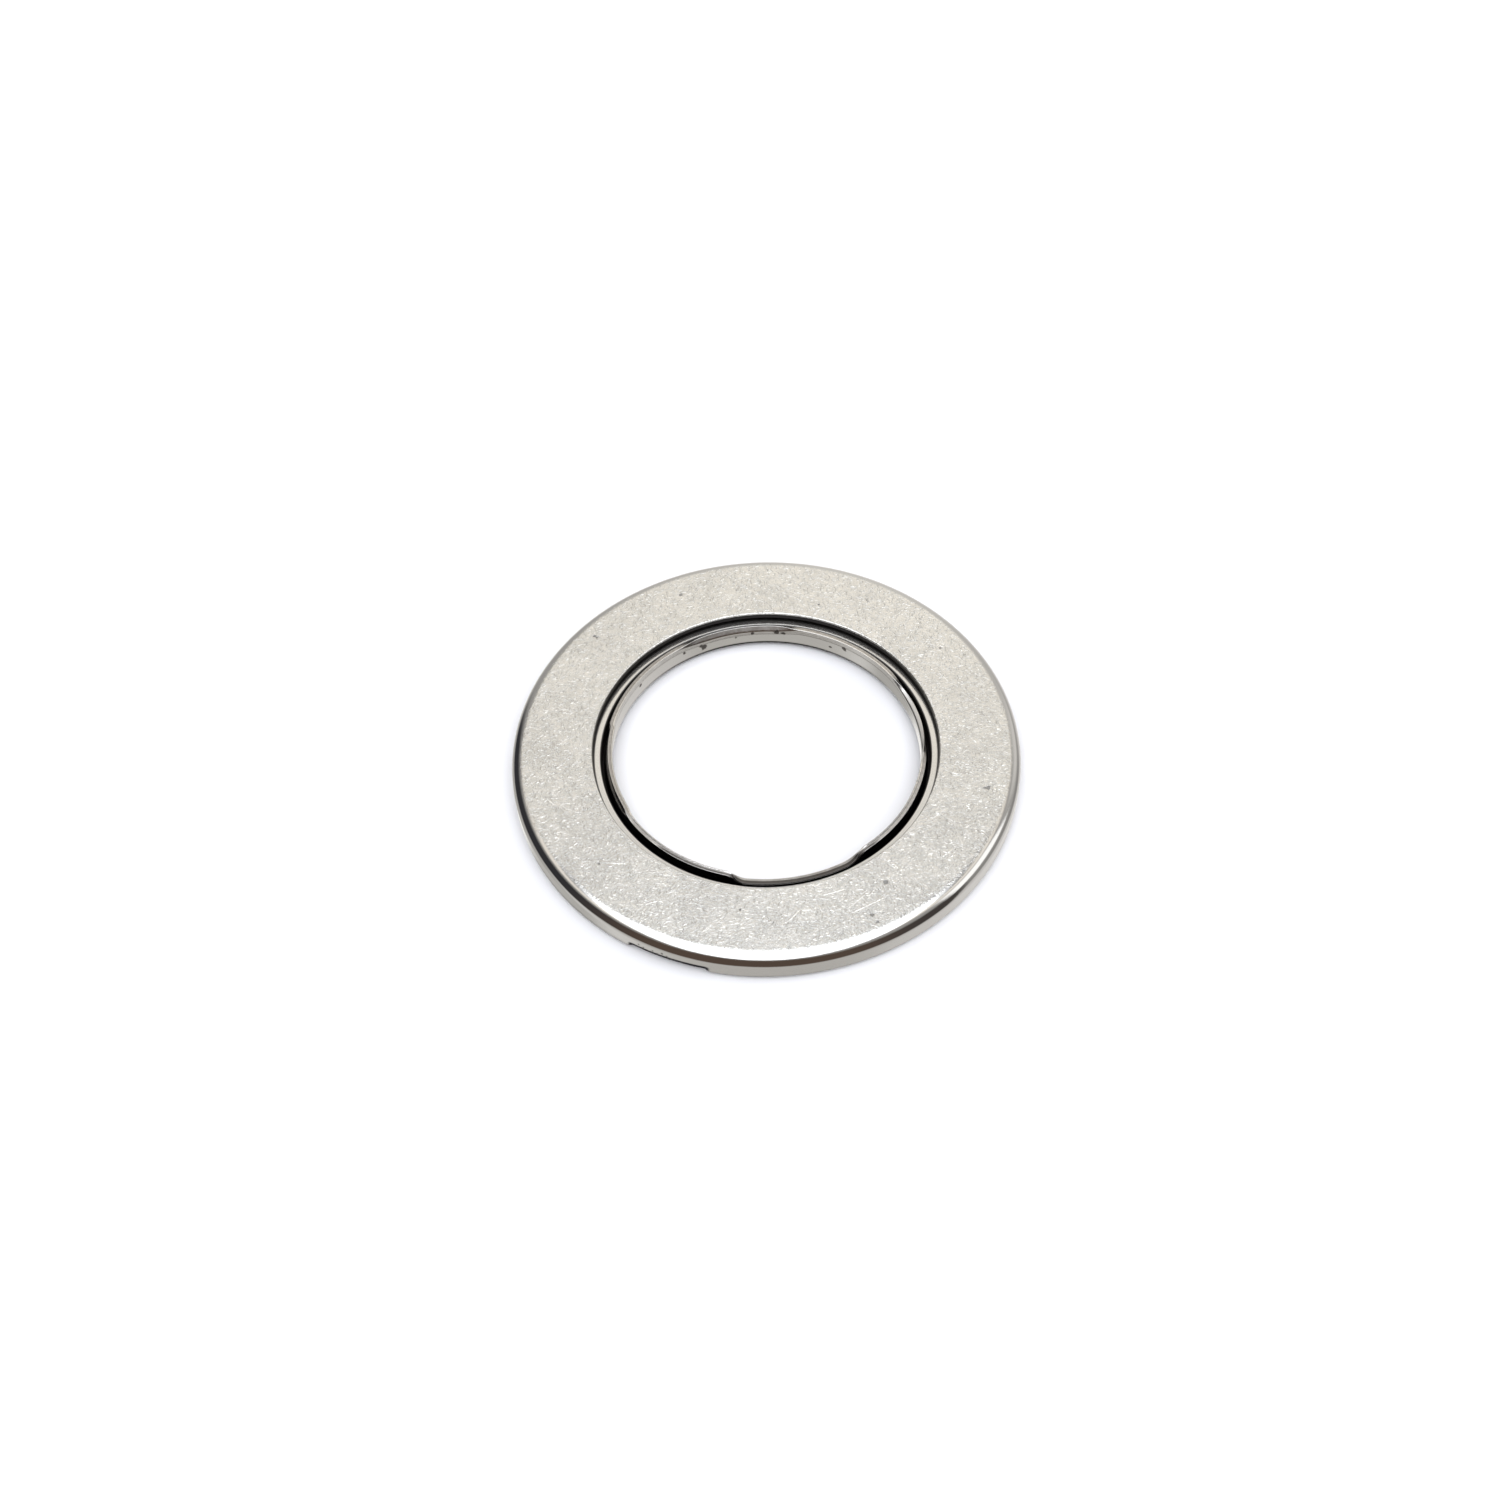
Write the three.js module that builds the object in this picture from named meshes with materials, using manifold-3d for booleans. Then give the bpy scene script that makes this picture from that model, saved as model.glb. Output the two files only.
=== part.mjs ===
// Thin enclosed thrust bearing with two pressed washers (races) and caged needle rollers.
// Millimetres, +Z up. The origin is on the axis, on the flat the bearing stands on.
//
// The lower race is a washer whose bore is drawn up into a flange. The upper race is a washer
// whose rim is drawn down into a lip. A cage of two pressed shells runs between them and carries
// the needles, each lying along a radius. Stakes flared out from the flange and stakes pressed in
// from the lip hold the cage, so the bearing is one unit.

import * as THREE from 'three';
import { mergeGeometries, mergeVertices } from 'three/addons/utils/BufferGeometryUtils.js';
import Module from 'manifold-3d';

const wasm = await Module();
wasm.setup();

// Driving dimensions
const outerRadius = 32;
const raceThickness = 0.9;
const needleRadius = 1.0;
const rollingGap = 0.05; // clear height left above and below every needle
const overallHeight = 2 * (raceThickness + rollingGap + needleRadius);
const edgeBreak = 0.1; // small bevel on sheared edges

// Upper race
const upperBoreRadius = 21.8;
const rimBendRadius = 1.57;
const lipBottom = 0.48;
const lipStakeCount = 3;
const lipStakeHalfAngle = 7.5; // degrees at full depth
const lipStakeDirection = -112.5; // degrees from +X to the middle of the first stake
const upperSegments = 96;

// Lower race
const flangeBoreRadius = 19.55;
const flangeThickness = 0.65;
const flangeTop = 3.5;
const rootBendRadius = 1.0;
const lowerOuterRadius = 30.3;
const flangeStakeCount = 4;
const flangeStakeHalfAngle = 21; // degrees at full depth
const flangeStakeDirection = -79; // degrees from +X to the middle of the first stake
const lowerSegments = 120;

// Needles
const needleCount = 36;
const needleInnerEnd = 22.4;
const needleOuterEnd = 29.4;
const needleChamfer = 0.2;
const needleSides = 12;
const needleLength = needleOuterEnd - needleInnerEnd;
const needlePitchRadius = (needleOuterEnd + needleInnerEnd) / 2;
const needleHeight = raceThickness + rollingGap + needleRadius;

// Cage
const shellThickness = 0.3;
const nestingGap = 0.3; // between the rims of the two shells
const cageInnerRadius = 20.69;
const cageOuterRadius = 30.9;
const cageRimBottom = 1.3;
const plateOffset = 0.5; // from the needle axes to the inner face of each cage plate
const beadRadius = 0.45;
const beadHeight = 2.57; // middle of the rounded rim that rises inside the upper race's bore
const lowerRimTop = 2.1;
const pocketWidth = 1.86; // narrower than a needle, so the needles cannot fall out
const pocketEndGap = 0.3;
const cageSegments = 72;

const steel = (colour, roughness) =>
  new THREE.MeshStandardMaterial({ color: colour, roughness, metalness: 1.0 });
const racesteel = steel(0xc9c5bd, 0.38);
const cagesteel = steel(0xb9b8b4, 0.3);
const needlesteel = steel(0xd6d6d4, 0.18);

// Keeps positions only and joins the vertices that faces share.
function weld(geometry) {
  geometry.deleteAttribute('normal');
  geometry.deleteAttribute('uv');
  const welded = mergeVertices(geometry, 1e-4);
  welded.computeVertexNormals();
  return welded;
}

function toManifold(geometry) {
  return new wasm.Manifold(new wasm.Mesh({
    numProp: 3,
    vertProperties: new Float32Array(geometry.getAttribute('position').array),
    triVerts: new Uint32Array(geometry.getIndex().array),
  }));
}

function fromManifold(solid) {
  const { vertProperties, triVerts } = solid.getMesh();
  const geometry = new THREE.BufferGeometry();
  geometry.setAttribute('position', new THREE.BufferAttribute(vertProperties, 3));
  geometry.setIndex(new THREE.BufferAttribute(triVerts, 1));
  geometry.computeVertexNormals();
  return geometry;
}

const point = (radius, height) => new THREE.Vector2(radius, height);

// Points on an arc, by angle in degrees from the outward radius towards +Z.
function arc(radius, height, bend, from, to, steps) {
  const points = [];
  for (let i = 0; i <= steps; i += 1) {
    const angle = THREE.MathUtils.degToRad(from + ((to - from) * i) / steps);
    points.push(point(radius + bend * Math.cos(angle), height + bend * Math.sin(angle)));
  }
  return points;
}

// A ring about Z whose closed outline, anticlockwise, may change with the angle round the ring.
// Angle 0 is at -Y.
function ring(outlineAt, segments) {
  const closedOutline = (turn) => {
    const outline = outlineAt(turn);
    return [...outline, outline[0]];
  };
  const geometry = new THREE.LatheGeometry(closedOutline(0), segments);
  const position = geometry.getAttribute('position');
  let vertex = 0;
  for (let i = 0; i <= segments; i += 1) {
    const turn = (360 * i) / segments;
    const angle = THREE.MathUtils.degToRad(turn);
    for (const corner of closedOutline(turn)) {
      position.setXYZ(vertex, corner.x * Math.sin(angle), corner.y, corner.x * Math.cos(angle));
      vertex += 1;
    }
  }
  geometry.rotateX(Math.PI / 2);
  return weld(geometry);
}

// 1 on a stake, 0 beside it, and a ramp one ring segment long at each end.
function stakeAmount(turn, count, halfAngle, segments) {
  const spacing = 360 / count;
  const offset = Math.abs(((turn + spacing / 2) % spacing) - spacing / 2);
  const ramp = 360 / segments;
  return THREE.MathUtils.clamp(1 - (offset - halfAngle) / ramp, 0, 1);
}

// Outlines

function upperRaceOutline(turn) {
  const stake = stakeAmount(turn, lipStakeCount, lipStakeHalfAngle, upperSegments);
  const bendCentre = outerRadius - rimBendRadius;
  const bendHeight = overallHeight - rimBendRadius;
  const underside = overallHeight - raceThickness;
  const lipInner = outerRadius - raceThickness;
  return [
    point(upperBoreRadius, underside),
    ...arc(bendCentre, bendHeight, rimBendRadius - raceThickness, 90, 0, 3),
    point(lipInner, lipBottom + 0.95),
    point(lipInner - 0.55 * stake, lipBottom + 0.1 + 0.4 * stake),
    point(lipInner + edgeBreak - 0.55 * stake, lipBottom + 0.3 * stake),
    point(outerRadius - edgeBreak - 0.2 * stake, lipBottom + 0.25 * stake),
    point(outerRadius - 0.12 * stake, lipBottom + edgeBreak + 0.25 * stake),
    point(outerRadius, lipBottom + 0.95),
    ...arc(bendCentre, bendHeight, rimBendRadius, 0, 90, 5),
    point(upperBoreRadius + edgeBreak, overallHeight),
    point(upperBoreRadius, overallHeight - edgeBreak),
  ];
}

function lowerRaceOutline(turn) {
  const stake = stakeAmount(turn, flangeStakeCount, flangeStakeHalfAngle, lowerSegments);
  const flangeOuter = flangeBoreRadius + flangeThickness;
  const rootCentre = flangeBoreRadius + rootBendRadius;
  const mix = THREE.MathUtils.lerp;
  return [
    ...arc(rootCentre, rootBendRadius, rootBendRadius, 180, 270, 4),
    point(lowerOuterRadius - edgeBreak, 0),
    point(lowerOuterRadius, edgeBreak),
    point(lowerOuterRadius, raceThickness - edgeBreak),
    point(lowerOuterRadius - edgeBreak, raceThickness),
    point(rootCentre, raceThickness),
    point(flangeOuter, raceThickness + rootCentre - flangeOuter),
    point(flangeOuter, 2.45),
    point(mix(flangeOuter, 20.9, stake), mix(flangeTop - 0.12, 3.05, stake)),
    point(mix(flangeBoreRadius + 0.05, 20.35, stake), mix(flangeTop, 3.2, stake)),
    point(flangeBoreRadius, 2.9),
  ];
}

function upperShellOutline() {
  const plateTop = needleHeight + plateOffset + shellThickness;
  const plateUnder = needleHeight + plateOffset;
  const beadCentre = cageInnerRadius + beadRadius;
  return [
    point(cageInnerRadius, cageRimBottom),
    point(cageInnerRadius + shellThickness, cageRimBottom),
    point(cageInnerRadius + shellThickness, plateUnder),
    point(beadCentre, plateUnder + 0.15),
    point(beadCentre + beadRadius, plateUnder),
    point(cageOuterRadius - shellThickness, plateUnder),
    point(cageOuterRadius - shellThickness, cageRimBottom),
    point(cageOuterRadius, cageRimBottom),
    point(cageOuterRadius, plateTop - shellThickness),
    point(cageOuterRadius - shellThickness, plateTop),
    point(beadCentre + beadRadius, plateTop),
    ...arc(beadCentre, beadHeight, beadRadius, 30, 180, 5),
  ];
}

function lowerShellOutline() {
  const plateTop = needleHeight - plateOffset;
  const plateUnder = plateTop - shellThickness;
  const inner = cageInnerRadius + shellThickness + nestingGap;
  const outer = cageOuterRadius - shellThickness - nestingGap;
  return [
    point(inner, plateUnder),
    point(outer, plateUnder),
    point(outer, lowerRimTop),
    point(outer - shellThickness, lowerRimTop),
    point(outer - shellThickness, plateTop),
    point(inner + shellThickness, plateTop),
    point(inner + shellThickness, lowerRimTop),
    point(inner, lowerRimTop),
  ];
}

// Sub-parts

function addMesh(group, name, geometry, material, turn = 0) {
  const mesh = new THREE.Mesh(geometry, material);
  mesh.name = name;
  mesh.rotation.z = THREE.MathUtils.degToRad(turn);
  group.add(mesh);
  return mesh;
}

const needleAngle = (index) => (2 * Math.PI * index) / needleCount;

function pocketCutter() {
  const length = needleLength + 2 * pocketEndGap;
  const pockets = [];
  for (let i = 0; i < needleCount; i += 1) {
    const pocket = new THREE.BoxGeometry(length, pocketWidth, overallHeight);
    pocket.translate(needlePitchRadius, 0, needleHeight);
    pocket.rotateZ(needleAngle(i));
    pockets.push(pocket);
  }
  return toManifold(weld(mergeGeometries(pockets)));
}

function cageShell(outlineAt, pockets) {
  return fromManifold(toManifold(ring(outlineAt, cageSegments)).subtract(pockets));
}

function needleGeometry() {
  const half = needleLength / 2;
  const outline = [
    point(0, -half),
    point(needleRadius - needleChamfer, -half),
    point(needleRadius, needleChamfer - half),
    point(needleRadius, half - needleChamfer),
    point(needleRadius - needleChamfer, half),
    point(0, half),
  ];
  return weld(new THREE.LatheGeometry(outline, needleSides));
}

function addNeedles(group) {
  const geometry = needleGeometry();
  for (let i = 0; i < needleCount; i += 1) {
    const angle = needleAngle(i);
    const name = `needle_${String(i + 1).padStart(2, '0')}`;
    const needle = addMesh(group, name, geometry, needlesteel);
    needle.position.set(needlePitchRadius * Math.cos(angle), needlePitchRadius * Math.sin(angle), needleHeight);
    needle.rotation.z = angle - Math.PI / 2;
  }
}

const bearing = new THREE.Group();
addMesh(bearing, 'lower_race', ring(lowerRaceOutline, lowerSegments), racesteel, flangeStakeDirection + 90);
addMesh(bearing, 'upper_race', ring(upperRaceOutline, upperSegments), racesteel, lipStakeDirection + 90);

const cage = new THREE.Group();
const pockets = pocketCutter();
addMesh(cage, 'cage_upper_shell', cageShell(upperShellOutline, pockets), cagesteel);
addMesh(cage, 'cage_lower_shell', cageShell(lowerShellOutline, pockets), cagesteel);
addNeedles(cage);
bearing.add(cage);

export default bearing;
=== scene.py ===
import math
from collections import namedtuple

import bpy
import numpy as np
from mathutils import Matrix, Quaternion, Vector


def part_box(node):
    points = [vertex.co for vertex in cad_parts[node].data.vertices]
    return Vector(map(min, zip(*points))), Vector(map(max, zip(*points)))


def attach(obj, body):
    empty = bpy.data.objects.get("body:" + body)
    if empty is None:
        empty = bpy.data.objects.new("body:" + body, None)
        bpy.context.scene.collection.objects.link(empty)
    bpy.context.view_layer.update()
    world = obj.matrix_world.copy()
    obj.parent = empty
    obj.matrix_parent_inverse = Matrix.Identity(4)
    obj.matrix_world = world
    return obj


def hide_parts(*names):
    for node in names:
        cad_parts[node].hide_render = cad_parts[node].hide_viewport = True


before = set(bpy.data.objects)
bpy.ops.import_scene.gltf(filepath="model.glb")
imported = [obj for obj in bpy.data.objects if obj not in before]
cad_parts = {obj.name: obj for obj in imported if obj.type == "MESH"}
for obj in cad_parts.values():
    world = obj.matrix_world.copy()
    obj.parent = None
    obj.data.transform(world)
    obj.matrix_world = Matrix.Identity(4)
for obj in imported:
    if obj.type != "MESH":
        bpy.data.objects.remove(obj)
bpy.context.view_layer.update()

MM = 0.001
STEPS_ROUND = 720


# Sizes from the frame

upper_low, upper_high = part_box("upper_race")
lower_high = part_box("lower_race")[1]
shell_low, shell_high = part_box("cage_upper_shell")
under_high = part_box("cage_lower_shell")[1]
needle_low, needle_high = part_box("needle_01")

outer_radius = upper_high.x
total_height = upper_high.z
lip_bottom = upper_low.z
lower_outer_radius = lower_high.x
flange_top = lower_high.z
cage_outer_radius = shell_high.x
cage_rim_bottom = shell_low.z
needle_radius = (needle_high.z - needle_low.z) / 2
needle_height = (needle_high.z + needle_low.z) / 2
needle_length = needle_high.x - needle_low.x
needle_pitch_radius = (needle_high.x + needle_low.x) / 2
needle_names = sorted(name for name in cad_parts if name.startswith("needle_"))

# Sizes of the sheet work

sheet = 0.9 * MM
upper_bore_radius = 21.8 * MM
rim_bend = 1.57 * MM
flange_bore_radius = 19.55 * MM
flange_sheet = 0.65 * MM
root_bend = 1.0 * MM
shell_sheet = 0.3 * MM
cage_inner_radius = 20.69 * MM
under_rim_inner_radius = cage_inner_radius + 0.6 * MM
bead_top = shell_high.z - 0.28 * MM
bead_width = 1.26 * MM
bead_bright_from = 20.92 * MM
bead_bright_to = 21.57 * MM
pocket_web = 0.42 * MM
pocket_width = 1.86 * MM
pocket_end_gap = 0.3 * MM
needle_end_round = 0.2 * MM

# Stakes: where each starts and ends round the race (degrees), and how far each end fades in

LipStake = namedtuple("LipStake", "start end fade_in fade_out")
FlangeStake = namedtuple("FlangeStake", "start end fade_in fade_out lean fold length softness edge")

LIP_STAKE_HALF = 9.5
LIP_STAKE_FADE = 1.4
lip_stakes = [LipStake(middle - LIP_STAKE_HALF, middle + LIP_STAKE_HALF, LIP_STAKE_FADE, LIP_STAKE_FADE)
              for middle in (7.5, 127.5, 247.5)]

# Each lug on the flange has its own lean (degrees), fold height, length, softness of bend and edge thickness
flange_stakes = [
    FlangeStake(74, 127, 12, 16, 35, 2.92 * MM, 0.72 * MM, 0.25, 0.65 * MM),
    FlangeStake(167, 216, 4, 12, -24, 2.80 * MM, 0.72 * MM, 0.40, 0.65 * MM),
    FlangeStake(254, 308, 8, 11, 70, 2.69 * MM, 1.25 * MM, 0.36, 0.15 * MM),
    FlangeStake(-14, 36, 26, 18, 72, 2.88 * MM, 0.64 * MM, 0.35, 0.30 * MM),
]
flange_fold = 3.30 * MM
flange_lip = flange_top - flange_fold


# Shader helper

class Link:
    """A socket in a shader, with arithmetic that adds Math nodes."""

    def __init__(self, shader, socket):
        self.shader = shader
        self.socket = socket

    def __add__(self, other):
        return self.shader.math("ADD", self, other)

    def __sub__(self, other):
        return self.shader.math("SUBTRACT", self, other)

    def __rsub__(self, other):
        return self.shader.math("SUBTRACT", other, self)

    def __mul__(self, other):
        return self.shader.math("MULTIPLY", self, other)

    def __truediv__(self, other):
        return self.shader.math("DIVIDE", self, other)

    __radd__ = __add__
    __rmul__ = __mul__


class Shader:
    """Nodes of one material or world."""

    def __init__(self, tree):
        self.tree = tree
        tree.nodes.clear()

    def node(self, kind, settings=None, sockets=None, out=0):
        made = self.tree.nodes.new(kind)
        for name, value in (settings or {}).items():
            setattr(made, name, value)
        for name, value in (sockets or {}).items():
            if isinstance(value, Link):
                self.tree.links.new(value.socket, made.inputs[name])
            else:
                made.inputs[name].default_value = value
        return Link(self, made.outputs[out]) if out is not None else made

    def math(self, operation, first, second=0.0):
        return self.node("ShaderNodeMath", {"operation": operation}, {0: first, 1: second})

    def smooth(self, value, start, end):
        """0 at start, 1 at end, with an eased change between."""
        return self.node("ShaderNodeMapRange", {"interpolation_type": "SMOOTHSTEP"},
                         {"Value": value, "From Min": start, "From Max": end})

    def band(self, value, low, high, soft):
        """1 between low and high, and 0 outside, with soft edges."""
        below_high = 1 - self.smooth(value, high - soft, high + soft)
        return self.smooth(value, low - soft, low + soft) * below_high

    def mix(self, factor, first, second):
        made = self.node("ShaderNodeMix", {"data_type": "RGBA"}, out=None)
        for socket, value in ((made.inputs[0], factor), (made.inputs[6], first), (made.inputs[7], second)):
            if isinstance(value, Link):
                self.tree.links.new(value.socket, socket)
            else:
                socket.default_value = value
        return Link(self, made.outputs[2])

    def parts(self, vector):
        made = self.node("ShaderNodeSeparateXYZ", sockets={0: vector}, out=None)
        return [Link(self, socket) for socket in made.outputs]

    def turned(self, vector, angle, scale=(1, 1, 1)):
        """The vector turned about Z, then scaled."""
        spin = self.node("ShaderNodeVectorRotate", {"rotation_type": "Z_AXIS"},
                         {"Vector": vector, "Angle": angle})
        return self.node("ShaderNodeVectorMath", {"operation": "MULTIPLY"}, {0: spin, 1: scale})

    def noise(self, vector, scale, detail=2.0, roughness=0.5, distortion=0.0):
        return self.node("ShaderNodeTexNoise", {"noise_dimensions": "3D"},
                         {"Vector": vector, "Scale": scale, "Detail": detail,
                          "Roughness": roughness, "Distortion": distortion})

    def finish(self, kind, shader):
        self.node(kind, sockets={"Surface": shader}, out=None)


def rgb(red, green, blue):
    return (red, green, blue, 1.0)


# Materials

TUMBLED_DEPTH = 0.040 * MM
CAGE_GRAIN_DEPTH = 0.002 * MM
LAPPED_DEPTH = 0.001 * MM


def start_material(name):
    material = bpy.data.materials.new(name)
    material.use_nodes = True
    shader = Shader(material.node_tree)
    position = shader.node("ShaderNodeTexCoord", out=3)
    return material, shader, position


def inside_painted_shade(shader, radius, height):
    """1 on the faces inside the bearing, between the races, which are painted near black as shade."""
    between = shader.band(radius, flange_bore_radius + 0.60 * MM, outer_radius - 0.85 * MM, 0.03 * MM)
    near_bore = shader.smooth(radius, 21.3 * MM, 21.4 * MM)
    ceiling = 2.30 * MM + 1.40 * MM * near_bore
    above_floor = shader.smooth(height, 0.06 * MM, 0.14 * MM)
    under_ceiling = 1 - shader.smooth(height - ceiling, -0.04 * MM, 0.04 * MM)
    return between * (above_floor * under_ceiling)


def blotch(shader, position, centre, size, ragged):
    """1 inside an uneven round spot."""
    away = shader.node("ShaderNodeVectorMath", {"operation": "DISTANCE"}, {0: position, 1: centre}, out=1)
    return 1 - shader.smooth(away / size + ragged, 0.75, 1.15)


def round_the_axis(angle, radius, height):
    return (radius * math.cos(math.radians(angle)), radius * math.sin(math.radians(angle)), height)


def line_mark(shader, x, y, start, end, width):
    """1 along a straight scratch on the face, thinner towards its ends."""
    length = math.dist(start, end)
    along_x, along_y = (end[0] - start[0]) / length, (end[1] - start[1]) / length
    from_x, from_y = x - start[0], y - start[1]
    along = from_x * along_x + from_y * along_y
    across = shader.math("ABSOLUTE", from_x * along_y - from_y * along_x)
    inside = shader.band(along, 0.12 * length, 0.88 * length, 0.12 * length)
    return (1 - shader.smooth(across, 0.4 * width, width)) * inside


def strongest(shader, marks):
    total = marks[0]
    for mark in marks[1:]:
        total = shader.math("MAXIMUM", total, mark)
    return total


# Marks on the races: where (degrees, mm) and how big (mm)

face_pits = ((113, 27.7, 0.22), (140, 28.9, 0.16), (139.7, 28.5, 0.14), (344, 28.3, 0.28),
             (343.6, 27.9, 0.16), (294.7, 28.6, 0.24), (297.5, 29.0, 0.20), (295, 29.7, 0.20),
             (303, 25.4, 0.26), (262, 25.0, 0.16), (221, 27.0, 0.15), (72, 24.4, 0.15), (33, 27.5, 0.15))
wall_stains = ((113.5, 1.9, 0.46), (114.6, 2.25, 0.30), (84.8, 2.75, 0.34), (82.1, 2.62, 0.30),
               (94.0, 2.6, 0.24), (63.0, 1.8, 0.20), (57.0, 2.5, 0.34), (122.0, 2.3, 0.26),
               (145.0, 2.4, 0.26), (100.5, 2.1, 0.14))
lip_pits = tuple((241 + 1.1 * step, 1.9 - 0.13 * (step * 7 % 5), 0.12 + 0.02 * (step % 3))
                 for step in range(8))

# Scratches on the face, each from one place to another (degrees, mm, degrees, mm)

SCRATCH_WIDTH = 0.09 * MM
long_scratches = ((275.0, 26.5, 278.5, 25.0), (284.6, 23.9, 293.1, 24.0), (289.5, 26.7, 297.0, 25.6),
                  (290.0, 27.4, 300.6, 27.2), (296.5, 26.2, 300.0, 25.4), (222.0, 26.2, 226.5, 24.6),
                  (196.0, 28.3, 199.0, 27.4), (21.0, 25.5, 26.0, 25.0), (238.0, 28.0, 240.5, 26.6),
                  (318.0, 27.4, 323.0, 27.9))


def spots(shader, position, places, radius, ragged):
    """1 inside every spot. Spots on a wall are given by height, and spots on the face by radius."""
    marks = []
    for angle, where, size in places:
        across, height = (radius, where * MM) if radius else (where * MM, total_height)
        marks.append(blotch(shader, position, round_the_axis(angle, across, height), size * MM, ragged))
    return strongest(shader, marks)


def race_steel():
    material, shader, position = start_material("tumbled_race_steel")
    x, y, z = shader.parts(position)
    radius = shader.math("SQRT", x * x + y * y)
    fold = shader.node("ShaderNodeAttribute", {"attribute_name": "fold"}, out=2)
    top_race = shader.node("ShaderNodeAttribute", {"attribute_name": "top_race"}, out=2)
    flat = 1 - shader.smooth(radius, outer_radius - 1.08 * rim_bend, outer_radius - 0.64 * rim_bend)
    flat = flat * shader.smooth(z, total_height - 0.28 * MM, total_height - 0.10 * MM)

    bend = shader.noise(position, 700, 1.0)
    wander = shader.node("ShaderNodeVectorMath", {"operation": "MULTIPLY_ADD"},
                         {0: shader.node("ShaderNodeTexNoise", {"noise_dimensions": "3D"},
                                         {"Vector": position, "Scale": 900.0, "Detail": 1.0}, out=1),
                          1: (0.0016, 0.0016, 0.0), 2: position})
    flecks = []
    for turn, seed in ((0.35, 0.0), (1.40, 0.31), (2.45, 0.67)):
        shifted = shader.node("ShaderNodeVectorMath", {"operation": "ADD"},
                              {0: wander, 1: (seed, seed, seed)})
        streak = shader.noise(shader.turned(shifted, turn, (1500, 5200, 1500)), 1.0, 1.5)
        flecks.append(shader.smooth(streak, 0.60, 0.72))
    flecks = strongest(shader, flecks)
    cloud = shader.noise(position, 160, 3.0, 0.6)
    mottle = shader.noise(position, 850, 3.0, 0.65, 0.3)
    grain = shader.noise(position, 3300, 2.0, 0.6)
    ragged = (mottle - 0.5) * 1.3 + (grain - 0.5) * 0.9

    pits = spots(shader, position, face_pits, None, ragged * 1.8)
    stains = spots(shader, position, wall_stains, flange_bore_radius, ragged * 1.5)
    lip_marks = spots(shader, position, lip_pits, outer_radius, ragged)
    scratches = strongest(shader, [
        line_mark(shader, x, y, round_the_axis(a, r * MM, 0), round_the_axis(b, q * MM, 0), SCRATCH_WIDTH)
        for a, r, b, q in long_scratches])

    steel = shader.mix(shader.smooth(cloud, 0.35, 0.65), rgb(0.675, 0.670, 0.655), rgb(0.730, 0.722, 0.702))
    dulled = shader.mix(0.10, steel, rgb(0.20, 0.20, 0.20))
    steel = shader.mix(shader.smooth(mottle, 0.30, 0.72), dulled, steel)
    steel = shader.mix(flecks * flat * 0.22, steel, rgb(0.92, 0.92, 0.90))
    steel = shader.mix(scratches * flat * 0.5, steel, rgb(0.95, 0.95, 0.94))
    steel = shader.mix(1 - flat, steel, rgb(0.62, 0.61, 0.60))
    steel = shader.mix(pits * flat * 0.62, steel, rgb(0.10, 0.10, 0.10))
    steel = shader.mix(lip_marks * 0.65, steel, rgb(0.09, 0.08, 0.07))

    cut = shader.band(fold, 5.20, 5.80, 0.03) * (1 - top_race)
    torn = shader.band(fold, 5.20, 5.56, 0.03) * (1 - top_race)
    torn_edge = shader.band(fold, 5.55, 5.60, 0.012) * (1 - top_race)
    torn_steel = shader.mix(grain, rgb(0.20, 0.18, 0.165), rgb(0.62, 0.60, 0.57))
    steel = shader.mix(torn, steel, torn_steel)
    steel = shader.mix(torn_edge * 0.8, steel, rgb(0.05, 0.04, 0.035))
    lug = shader.band(fold, 6.25, 6.95, 0.06) * (1 - top_race)
    flared = lug * (1 - shader.smooth(x, 10 * MM, 14 * MM))
    steel = shader.mix(flared * shader.smooth(mottle, 0.30, 0.60) * 0.35, steel, rgb(0.16, 0.125, 0.10))
    # Painted shade: on the near side (y below about -15 mm) the flange's top land and the inside of its lugs
    # are painted dark.
    near_land_painted_shade = shader.band(fold, 5.10, 6.70, 0.03) * (1 - top_race)
    near_land_painted_shade = near_land_painted_shade * shader.smooth(y * -1, 14.6 * MM, 15.6 * MM)
    near_land_painted_shade = near_land_painted_shade * shader.smooth(radius, 19.85 * MM, 19.95 * MM)
    near_land_shade_tone = shader.mix(grain, rgb(0.05, 0.045, 0.04), rgb(0.14, 0.13, 0.125))
    steel = shader.mix(near_land_painted_shade * 0.95, steel, near_land_shade_tone)
    steel = shader.mix(stains * 0.85, steel, rgb(0.055, 0.045, 0.04))
    # Painted shadow: the lip's outer wall on the -x, -y side is painted darker towards the floor, as a
    # reflection of the contact shadow.
    lip_foot_painted_shadow = shader.smooth(x * -1, 14 * MM, 20 * MM) * shader.smooth(y * -1, 8 * MM, 17 * MM)
    lip_foot_painted_shadow = lip_foot_painted_shadow * shader.smooth(radius, outer_radius - 0.25 * MM, outer_radius - 0.05 * MM)
    lip_foot_painted_shadow = lip_foot_painted_shadow * (1 - shader.smooth(z + 0.5 * MM * mottle, 0.45 * MM, 1.45 * MM))
    steel = shader.mix(lip_foot_painted_shadow * 0.75, steel, rgb(0.10, 0.092, 0.085))
    # Painted shadow: the foot of the flange's bore wall, below about 1 mm, is painted dark.
    foot = (1 - shader.smooth(z, 0.62 * MM, 1.12 * MM)) * (1 - shader.smooth(radius, 20.6 * MM, 20.9 * MM))
    steel = shader.mix(foot * 0.85, steel, rgb(0.06, 0.058, 0.06))
    # Painted shade: the faces inside the bearing, between the races, are painted near black and made rougher.
    dark = inside_painted_shade(shader, radius, z)
    steel = shader.mix(dark, steel, rgb(0.022, 0.020, 0.020))

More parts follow.
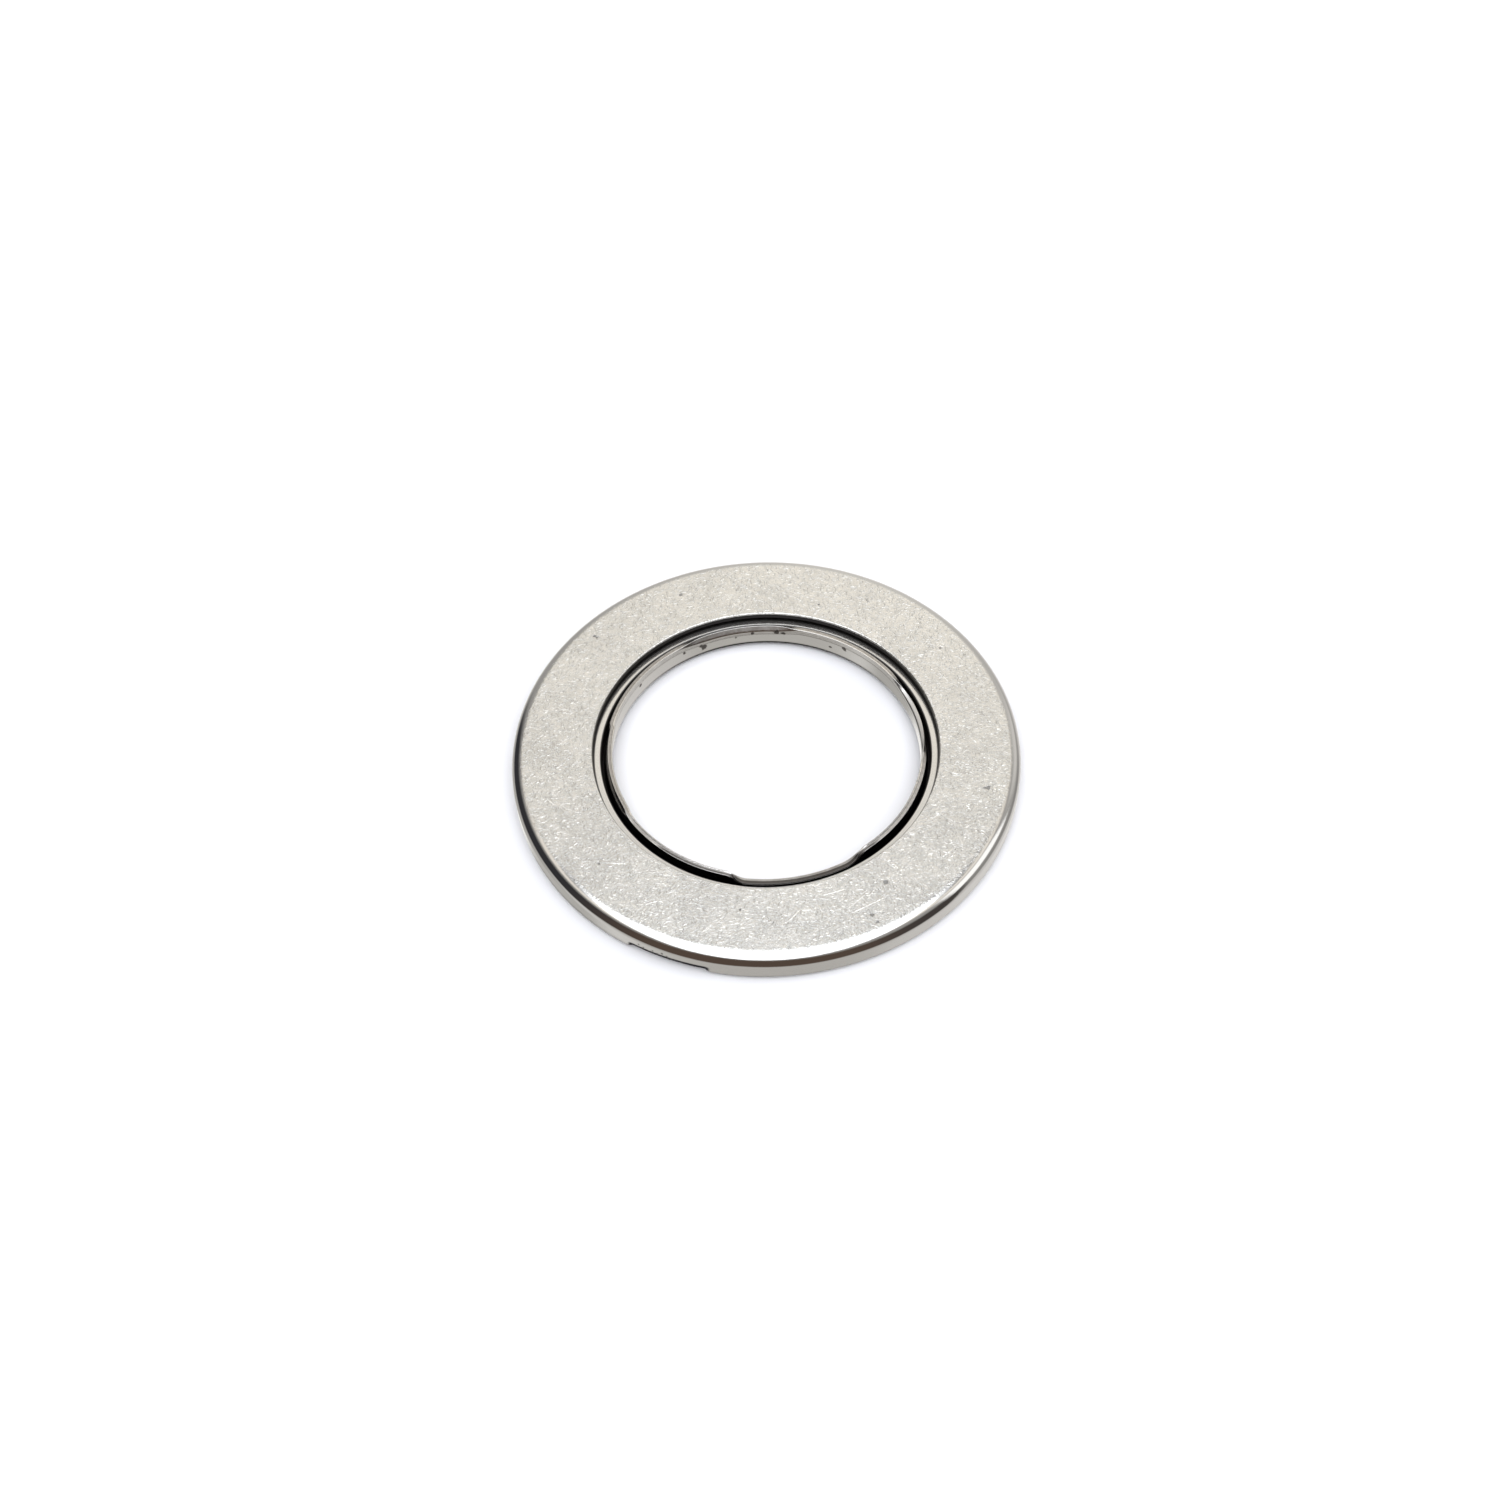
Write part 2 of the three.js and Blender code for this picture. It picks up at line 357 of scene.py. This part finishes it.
    polished = 0.085 + 0.05 * mottle
    tumbled = 0.14 + 0.06 * cloud + 0.05 * grain + 0.10 * pits
    roughness = polished + (tumbled - polished) * flat + 0.25 * torn + 0.22 * lug
    roughness = roughness + 0.25 * dark + 0.25 * stains + 0.2 * lip_marks
    height = 0.75 * grain + 0.9 * mottle + 0.7 * flecks + 0.5 * scratches - 1.2 * pits
    height = height * (0.03 + 0.97 * flat)
    height = height + 0.5 * grain * cut - 0.3 * lip_marks + 0.15 * bend * (1 - flat)
    bump = shader.node("ShaderNodeBump", sockets={
        "Strength": 1.0, "Distance": TUMBLED_DEPTH, "Height": height})
    steel = shader.node("ShaderNodeBsdfPrincipled", sockets={
        "Base Color": steel, "Metallic": 1.0, "Roughness": roughness, "Normal": bump})
    shader.finish("ShaderNodeOutputMaterial", steel)
    return material


def cage_steel():
    material, shader, position = start_material("drawn_cage_steel")
    x, y, z = shader.parts(position)
    radius = shader.math("SQRT", x * x + y * y)
    cloud = shader.noise(position, 260, 2.0)
    grain = shader.noise(position, 3000, 2.0)
    steel = shader.mix(cloud, rgb(0.66, 0.65, 0.63), rgb(0.72, 0.71, 0.69))
    # Painted shade: the cage is painted dark everywhere but the top of its bead, which keeps the lit steel
    # colour.
    on_bead = shader.smooth(radius, bead_bright_from - 0.05 * MM, bead_bright_from + 0.05 * MM)
    on_bead = on_bead * (1 - shader.smooth(radius, bead_bright_to - 0.07 * MM, bead_bright_to + 0.07 * MM))
    dark = 1 - on_bead * shader.smooth(z, bead_top - 0.26 * MM, bead_top - 0.12 * MM)
    cage_painted_shade = shader.mix(grain, rgb(0.05, 0.048, 0.045), rgb(0.12, 0.115, 0.11))
    steel = shader.mix(dark, steel, cage_painted_shade)
    bump = shader.node("ShaderNodeBump", sockets={
        "Strength": 1.0, "Distance": CAGE_GRAIN_DEPTH, "Height": grain})
    steel = shader.node("ShaderNodeBsdfPrincipled", sockets={
        "Base Color": steel, "Metallic": 1.0, "Roughness": 0.16 + 0.06 * cloud + 0.2 * dark, "Normal": bump})
    shader.finish("ShaderNodeOutputMaterial", steel)
    return material


def needle_steel():
    material, shader, position = start_material("lapped_needle_steel")
    rings = shader.noise(shader.turned(position, 0.0, (400, 9000, 400)), 1.0, 2.0)
    colour = shader.mix(rings, rgb(0.70, 0.70, 0.70), rgb(0.78, 0.78, 0.79))
    bump = shader.node("ShaderNodeBump", sockets={"Strength": 1.0, "Distance": LAPPED_DEPTH, "Height": rings})
    steel = shader.node("ShaderNodeBsdfPrincipled", sockets={
        "Base Color": colour, "Metallic": 1.0, "Roughness": 0.12 + 0.06 * rings, "Normal": bump})
    shader.finish("ShaderNodeOutputMaterial", steel)
    return material


# Shapes

def rounded(corners):
    """A closed outline through corners (radius, height, setback, steps), each bend a true arc.

    Each point comes with its fold: the number of its corner, and fractions for points beside a corner.
    """
    points, folds = [], []
    count = len(corners)
    for index, (radius, height, setback, steps) in enumerate(corners):
        corner = np.array((radius, height))
        before = np.array(corners[index - 1][:2]) - corner
        after = np.array(corners[(index + 1) % count][:2]) - corner
        into, out_of = before / np.linalg.norm(before), after / np.linalg.norm(after)
        weight = math.sqrt(max(0.0, (1 - float(into @ out_of)) / 2))
        start, end = corner + into * setback, corner + out_of * setback
        hold = 0.25 * setback
        points.append(start + into * hold)
        for step in range(steps + 1):
            t = step / steps
            parts = (1 - t) ** 2, 2 * weight * t * (1 - t), t ** 2
            points.append((parts[0] * start + parts[1] * corner + parts[2] * end) / sum(parts))
        points.append(end + out_of * hold)
        folds += list(index + np.linspace(-0.2, 0.2, steps + 3))
    return np.array(points), folds


def stake_share(angle, stake):
    """1 on a stake, 0 beside it, eased where it fades in and out. Angles are in degrees from +X."""
    into = (angle - stake.start) % 360
    left = stake.end - stake.start - into
    if left < 0:
        return 0.0
    t = min(1.0, into / stake.fade_in, left / stake.fade_out)
    return t * t * (3 - 2 * t)


def ring_mesh(name, corners_at):
    """A closed ring about Z. corners_at gives the outline's corners at an angle in degrees."""
    angles = np.arange(STEPS_ROUND) * 360 / STEPS_ROUND
    outlines = [rounded(corners_at(angle)) for angle in angles]
    size = len(outlines[0][0])
    vertices, folds = [], []
    for angle, (outline, marks) in zip(np.radians(angles), outlines):
        vertices += [(r * math.cos(angle), r * math.sin(angle), z) for r, z in outline]
        folds += marks
    faces = []
    for i in range(STEPS_ROUND):
        this, following = i * size, ((i + 1) % STEPS_ROUND) * size
        for j in range(size):
            k = (j + 1) % size
            faces.append((this + j, following + j, following + k, this + k))
    mesh = bpy.data.meshes.new(name)
    mesh.from_pydata(vertices, [], faces)
    mesh.attributes.new("fold", "FLOAT", "POINT").data.foreach_set("value", folds)
    mesh.shade_smooth()
    return mesh


def mixed(first, second, share):
    return first + (second - first) * share


def upper_race_corners(angle):
    stake = max(stake_share(angle, each) for each in lip_stakes)
    inner = outer_radius - sheet
    pressed = lip_bottom + 0.95 * MM
    return [
        (upper_bore_radius, total_height - sheet, 0.08 * MM, 4),
        (inner, total_height - sheet, rim_bend - sheet, 12),
        (inner, pressed, 0.2 * MM, 4),
        (inner - 0.55 * MM * stake, lip_bottom + 0.3 * MM * stake, 0.1 * MM, 4),
        (outer_radius - 0.2 * MM * stake, lip_bottom + 0.28 * MM * stake, 0.1 * MM, 4),
        (outer_radius, pressed, 0.2 * MM, 4),
        (outer_radius, total_height, rim_bend, 32),
        (upper_bore_radius, total_height, 0.18 * MM, 6),
    ]


def lower_race_corners(angle):
    stake = max(flange_stakes, key=lambda each: stake_share(angle, each))
    share = stake_share(angle, stake)
    lean = math.radians(stake.lean * min(1.0, 1.5 * share))
    fold = mixed(flange_fold, stake.fold, share)
    length = mixed(flange_lip, stake.length, share)
    softness = mixed(0.3, stake.softness, share)
    edge = mixed(flange_sheet, stake.edge, share)
    outer = flange_bore_radius + flange_sheet
    top_in = flange_bore_radius + length * math.sin(lean), fold + length * math.cos(lean)
    top_out = top_in[0] + edge * math.cos(lean), top_in[1] - edge * math.sin(lean) - 0.06 * MM
    return [
        (flange_bore_radius, 0.0, root_bend, 16),
        (lower_outer_radius, 0.0, 0.12 * MM, 4),
        (lower_outer_radius, sheet, 0.12 * MM, 4),
        (outer, sheet, root_bend - flange_sheet, 6),
        (outer, fold - flange_sheet * math.tan(lean / 2), 0.06 * MM, 5),
        (*top_out, 0.05 * MM, 4),
        (*top_in, 0.05 * MM, 4),
        (flange_bore_radius, fold, softness * length, 8),
    ]


def upper_shell_corners(angle):
    under = needle_height + pocket_web
    bead_outer = cage_inner_radius + bead_width
    return [
        (cage_inner_radius, cage_rim_bottom, 0.06 * MM, 3),
        (cage_inner_radius + shell_sheet, cage_rim_bottom, 0.06 * MM, 3),
        (cage_inner_radius + shell_sheet, under + 0.15 * MM, 0.1 * MM, 4),
        (bead_outer - 0.2 * MM, under + 0.15 * MM, 0.05 * MM, 3),
        (bead_outer, under, 0.05 * MM, 3),
        (cage_outer_radius - shell_sheet, under, 0.08 * MM, 3),
        (cage_outer_radius - shell_sheet, cage_rim_bottom, 0.06 * MM, 3),
        (cage_outer_radius, cage_rim_bottom, 0.06 * MM, 3),
        (cage_outer_radius, under + shell_sheet, 0.25 * MM, 6),
        (bead_outer, under + shell_sheet, 0.08 * MM, 4),
        (bead_outer, bead_top, 0.03 * MM, 4),
        (bead_outer - 0.5 * bead_width, bead_top, 0.1 * MM, 3),
        (cage_inner_radius, bead_top, 0.3 * MM, 16),
    ]


def lower_shell_corners(angle):
    top = needle_height - 0.5 * MM
    inner, outer = under_rim_inner_radius, under_high.x
    rim_top = under_high.z
    small = 0.06 * MM
    return [
        (inner, top - shell_sheet, 0.12 * MM, 4),
        (outer, top - shell_sheet, 0.12 * MM, 4),
        (outer, rim_top, small, 3),
        (outer - shell_sheet, rim_top, small, 3),
        (outer - shell_sheet, top, small, 3),
        (inner + shell_sheet, top, small, 3),
        (inner + shell_sheet, rim_top, small, 3),
        (inner, rim_top, small, 3),
    ]


def pocket_cutter():
    """One box for each needle, through the cage."""
    length = needle_length + 2 * pocket_end_gap
    vertices, faces = [], []
    for index in range(len(needle_names)):
        turn = Matrix.Rotation(2 * math.pi * index / len(needle_names), 3, "Z")
        first = len(vertices)
        for x in (-0.5, 0.5):
            for y in (-0.5, 0.5):
                for z in (-0.5, 0.5):
                    corner = Vector((needle_pitch_radius + x * length, y * pocket_width,
                                     needle_height + z * total_height))
                    vertices.append(turn @ corner)
        for face in ((0, 1, 3, 2), (4, 6, 7, 5), (0, 4, 5, 1), (2, 3, 7, 6), (0, 2, 6, 4), (1, 5, 7, 3)):
            faces.append([first + corner for corner in face])
    mesh = bpy.data.meshes.new("pockets")
    mesh.from_pydata(vertices, [], faces)
    return mesh


def link(name, mesh, material):
    mesh.materials.append(material)
    piece = bpy.data.objects.new(name, mesh)
    bpy.context.scene.collection.objects.link(piece)
    return piece


def cut(piece, cutter_mesh):
    """Takes the cutter's boxes out of the piece and keeps the cut edges crisp."""
    cutter = bpy.data.objects.new("cutter", cutter_mesh)
    bpy.context.scene.collection.objects.link(cutter)
    boolean = piece.modifiers.new("pockets", "BOOLEAN")
    boolean.operation = "DIFFERENCE"
    boolean.solver = "MANIFOLD"
    boolean.object = cutter
    evaluated = piece.evaluated_get(bpy.context.evaluated_depsgraph_get())
    mesh = bpy.data.meshes.new_from_object(evaluated)
    piece.modifiers.clear()
    piece.data = mesh
    mesh.shade_smooth()
    mesh.set_sharp_from_angle(angle=math.radians(35))
    bpy.data.objects.remove(cutter)


def needle_mesh():
    """A needle along Y, with rounded ends."""
    half, sides = needle_length / 2, 48
    closed = rounded([(1e-6, -half, 1e-7, 1), (needle_radius, -half, needle_end_round, 8),
                      (needle_radius, half, needle_end_round, 8), (1e-6, half, 1e-7, 1)])
    outline = [(r, y) for r, y in closed[0] if r > 2e-6]
    vertices = [(0.0, -half, 0.0)]
    for radius, y in outline:
        for side in range(sides):
            angle = 2 * math.pi * side / sides
            vertices.append((radius * math.cos(angle), y, radius * math.sin(angle)))
    vertices.append((0.0, half, 0.0))
    faces = [(0, 1 + side, 1 + (side + 1) % sides) for side in range(sides)]
    for row in range(len(outline) - 1):
        base = 1 + row * sides
        for side in range(sides):
            beside = (side + 1) % sides
            faces.append((base + side, base + sides + side, base + sides + beside, base + beside))
    last = 1 + (len(outline) - 1) * sides
    faces += [(len(vertices) - 1, last + (side + 1) % sides, last + side) for side in range(sides)]
    mesh = bpy.data.meshes.new("needle")
    mesh.from_pydata(vertices, [], faces)
    mesh.shade_smooth()
    return mesh


def place(piece, body, slot, *nodes):
    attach(piece, body)
    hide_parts(*nodes)


# The bearing

race_finish = race_steel()
cage_finish = cage_steel()
needle_finish = needle_steel()

lower_race = link("lower_race_pressing", ring_mesh("lower_race_pressing", lower_race_corners), race_finish)
place(lower_race, "lower_race", "race_steel", "lower_race")

upper_race = link("upper_race_pressing", ring_mesh("upper_race_pressing", upper_race_corners), race_finish)
place(upper_race, "upper_race", "race_steel", "upper_race")
everywhere = upper_race.data.attributes.new("top_race", "FLOAT", "POINT")
everywhere.data.foreach_set("value", [1.0] * len(upper_race.data.vertices))

upper_shell = link("cage_upper_pressing", ring_mesh("cage_upper_pressing", upper_shell_corners),
                   cage_finish)
cut(upper_shell, pocket_cutter())
place(upper_shell, "cage", "cage_steel", "cage_upper_shell")

lower_shell = link("cage_lower_pressing", ring_mesh("cage_lower_pressing", lower_shell_corners),
                   cage_finish)
cut(lower_shell, pocket_cutter())
place(lower_shell, "cage", "cage_steel", "cage_lower_shell")

one_needle = needle_mesh()
one_needle.materials.append(needle_finish)
for index, name in enumerate(needle_names):
    angle = 2 * math.pi * index / len(needle_names)
    needle = bpy.data.objects.new(name + "_roller", one_needle)
    bpy.context.scene.collection.objects.link(needle)
    needle.location = (needle_pitch_radius * math.cos(angle), needle_pitch_radius * math.sin(angle),
                       needle_height)
    needle.rotation_euler = (0, 0, angle - math.pi / 2)
    place(needle, name, "needle_steel", name)


# Floor and backdrop

FLOOR_HALF = 40 * outer_radius
BACKDROP_REACH = 39 * outer_radius
BACKDROP_HEIGHT = 40 * outer_radius
BACKDROP_SIDES = 128


def set_piece(name, vertices, faces, surface, colour):
    """A piece of the set. The bearing's steel doesn't reflect it, because it reflects the studio instead."""
    mesh = bpy.data.meshes.new(name)
    mesh.from_pydata(vertices, [], faces)
    material = bpy.data.materials.new("pale_" + name)
    material.use_nodes = True
    shader = Shader(material.node_tree)
    shader.finish("ShaderNodeOutputMaterial", shader.node(surface, sockets={"Color": colour}))
    piece = link(name, mesh, material)
    piece.visible_glossy = False
    return piece


def make_floor():
    corners = [(-FLOOR_HALF, -FLOOR_HALF, 0), (FLOOR_HALF, -FLOOR_HALF, 0),
               (FLOOR_HALF, FLOOR_HALF, 0), (-FLOOR_HALF, FLOOR_HALF, 0)]
    set_piece("floor", corners, [(0, 1, 2, 3)], "ShaderNodeBsdfDiffuse", rgb(0.90, 0.90, 0.93))


def make_backdrop():
    """A pale wall round the floor, which neither lights nor shades the bearing."""
    vertices, faces = [], []
    for side in range(BACKDROP_SIDES):
        angle = 2 * math.pi * side / BACKDROP_SIDES
        foot = BACKDROP_REACH * math.cos(angle), BACKDROP_REACH * math.sin(angle)
        vertices += [(*foot, z) for z in (-BACKDROP_HEIGHT, BACKDROP_HEIGHT)]
        low, low_beside = 2 * side, 2 * ((side + 1) % BACKDROP_SIDES)
        faces.append((low, low_beside, low_beside + 1, low + 1))
    backdrop = set_piece("backdrop", vertices, faces, "ShaderNodeEmission", rgb(1, 1, 1))
    backdrop.visible_diffuse = False
    backdrop.visible_transmission = False
    backdrop.visible_shadow = False


# Studio light

def studio():
    world = bpy.data.worlds.new("studio")
    bpy.context.scene.world = world
    world.use_nodes = True
    shader = Shader(world.node_tree)
    direction = shader.node("ShaderNodeTexCoord", out=0)
    x, y, z = shader.parts(direction)
    degree = math.degrees(1)
    elevation = shader.math("ARCSINE", z) * degree
    heading = shader.math("ARCTAN2", y, x) * degree
    heading = shader.node("ShaderNodeMath", {"operation": "WRAP"}, {0: heading, 1: 360.0, 2: 0.0})

    def towards(centre, half, soft):
        """1 within half of a heading, in degrees, with soft edges."""
        turned = shader.node("ShaderNodeMath", {"operation": "WRAP"},
                             {0: heading - centre, 1: 180.0, 2: -180.0})
        return 1 - shader.smooth(shader.math("ABSOLUTE", turned), half - soft, half + soft)

    back = towards(80, 22, 22)
    back = shader.math("MAXIMUM", back, shader.smooth(elevation, 38, 50))
    front = shader.smooth(y * -1, -0.15, 0.5)
    high_wall = shader.mix(shader.smooth(elevation, 50, 58), rgb(1.30, 1.23, 1.11), rgb(0.42, 0.42, 0.425))
    back_wall = shader.mix(shader.smooth(elevation, 22, 44), rgb(0.88, 0.86, 0.81), high_wall)
    wall = shader.mix(back, rgb(0.46, 0.45, 0.43), back_wall)
    side_patch = towards(38, 14, 10) * shader.band(elevation, 6, 34, 8)
    wall = shader.mix(side_patch, wall, rgb(0.88, 0.86, 0.82))
    far_floor = shader.mix(back, rgb(1.08, 1.07, 1.04), rgb(1.16, 1.14, 1.10))
    far_floor = shader.mix(towards(156, 30, 14), far_floor, rgb(0.58, 0.57, 0.54))
    far_floor = shader.mix(towards(28, 48, 14), far_floor, rgb(0.86, 0.84, 0.81))
    floor = shader.mix(front, far_floor, rgb(0.66, 0.645, 0.61))
    ground = shader.mix(shader.smooth(elevation, 4, -30), wall, floor)
    ground = shader.mix(shader.smooth(elevation, -59, -68), ground, rgb(0.03, 0.03, 0.035))
    right_shade = towards(4, 30, 10) * shader.band(elevation, -22, -1, 7)
    ground = shader.mix(right_shade, ground, rgb(0.36, 0.35, 0.335))

    low_edge = shader.math("MAXIMUM", 29.3 - 0.27 * heading, -36.0)
    high_edge = shader.math("MINIMUM", 60.0 - 0.11 * heading, 38.0)
    dark = shader.smooth(heading, 124, 137) * (1 - shader.smooth(heading, 341, 350))
    dark = dark * shader.smooth(elevation - low_edge, -7, 5)
    dark = dark * (1 - shader.smooth(elevation - high_edge, -12, 5))
    shade = shader.mix(shader.smooth(heading, 185, 232), rgb(0.045, 0.045, 0.05), rgb(0.125, 0.090, 0.070))
    shade = shader.mix(shader.smooth(heading, 295, 330), shade, rgb(0.075, 0.065, 0.06))
    room = shader.mix(dark, ground, shade)

    window = towards(-3, 17, 4) * shader.band(elevation, 9, 40, 4)
    room = shader.mix(window, room, rgb(1.62, 1.62, 1.60))
    above = shader.math("MAXIMUM", z, 0.02)
    across, along = (x / above + 0.03) / 0.82, (y / above + 0.60) / 1.04
    from_lamp = shader.math("SQRT", across * across + along * along)
    lamp = (1 - shader.smooth(from_lamp, 0.95, 1.04)) * shader.smooth(z, 0.05, 0.15)
    glow = towards(90, 5, 4) * shader.band(elevation, 58.2, 68, 1.0)
    lamp = shader.math("MAXIMUM", lamp, glow)
    full = shader.mix(lamp, room, rgb(2.30, 2.35, 2.42))
    background = shader.node("ShaderNodeBackground", sockets={"Color": full, "Strength": 1.0})
    shader.finish("ShaderNodeOutputWorld", background)


# Camera

CAMERA_ELEVATION = 52.57
CAMERA_DISTANCE = 7.625 * outer_radius
CAMERA_ROLL = -2.089
CAMERA_LENS = 46.04
CAMERA_SENSOR = 36.0
CAMERA_CLIP = 0.01
AIM_ACROSS = -0.0624 * outer_radius
AIM_UPWARD = 0.0489 * outer_radius


def make_camera():
    elevation = math.radians(CAMERA_ELEVATION)
    data = bpy.data.cameras.new("camera")
    data.lens = CAMERA_LENS
    data.sensor_width = CAMERA_SENSOR
    data.clip_start = CAMERA_CLIP
    camera = bpy.data.objects.new("camera", data)
    bpy.context.scene.collection.objects.link(camera)
    away = Vector((0, -math.cos(elevation), math.sin(elevation)))
    upward = Vector((0, math.sin(elevation), math.cos(elevation)))
    camera.location = CAMERA_DISTANCE * away
    target = Vector((AIM_ACROSS, 0, 0)) + AIM_UPWARD * upward
    look = (target - CAMERA_DISTANCE * away).to_track_quat("-Z", "Y")
    camera.rotation_mode = "QUATERNION"
    camera.rotation_quaternion = look @ Quaternion((0, 0, 1), math.radians(CAMERA_ROLL))
    bpy.context.scene.camera = camera


make_floor()
make_backdrop()
studio()
make_camera()
bpy.context.scene.view_settings.view_transform = "Standard"
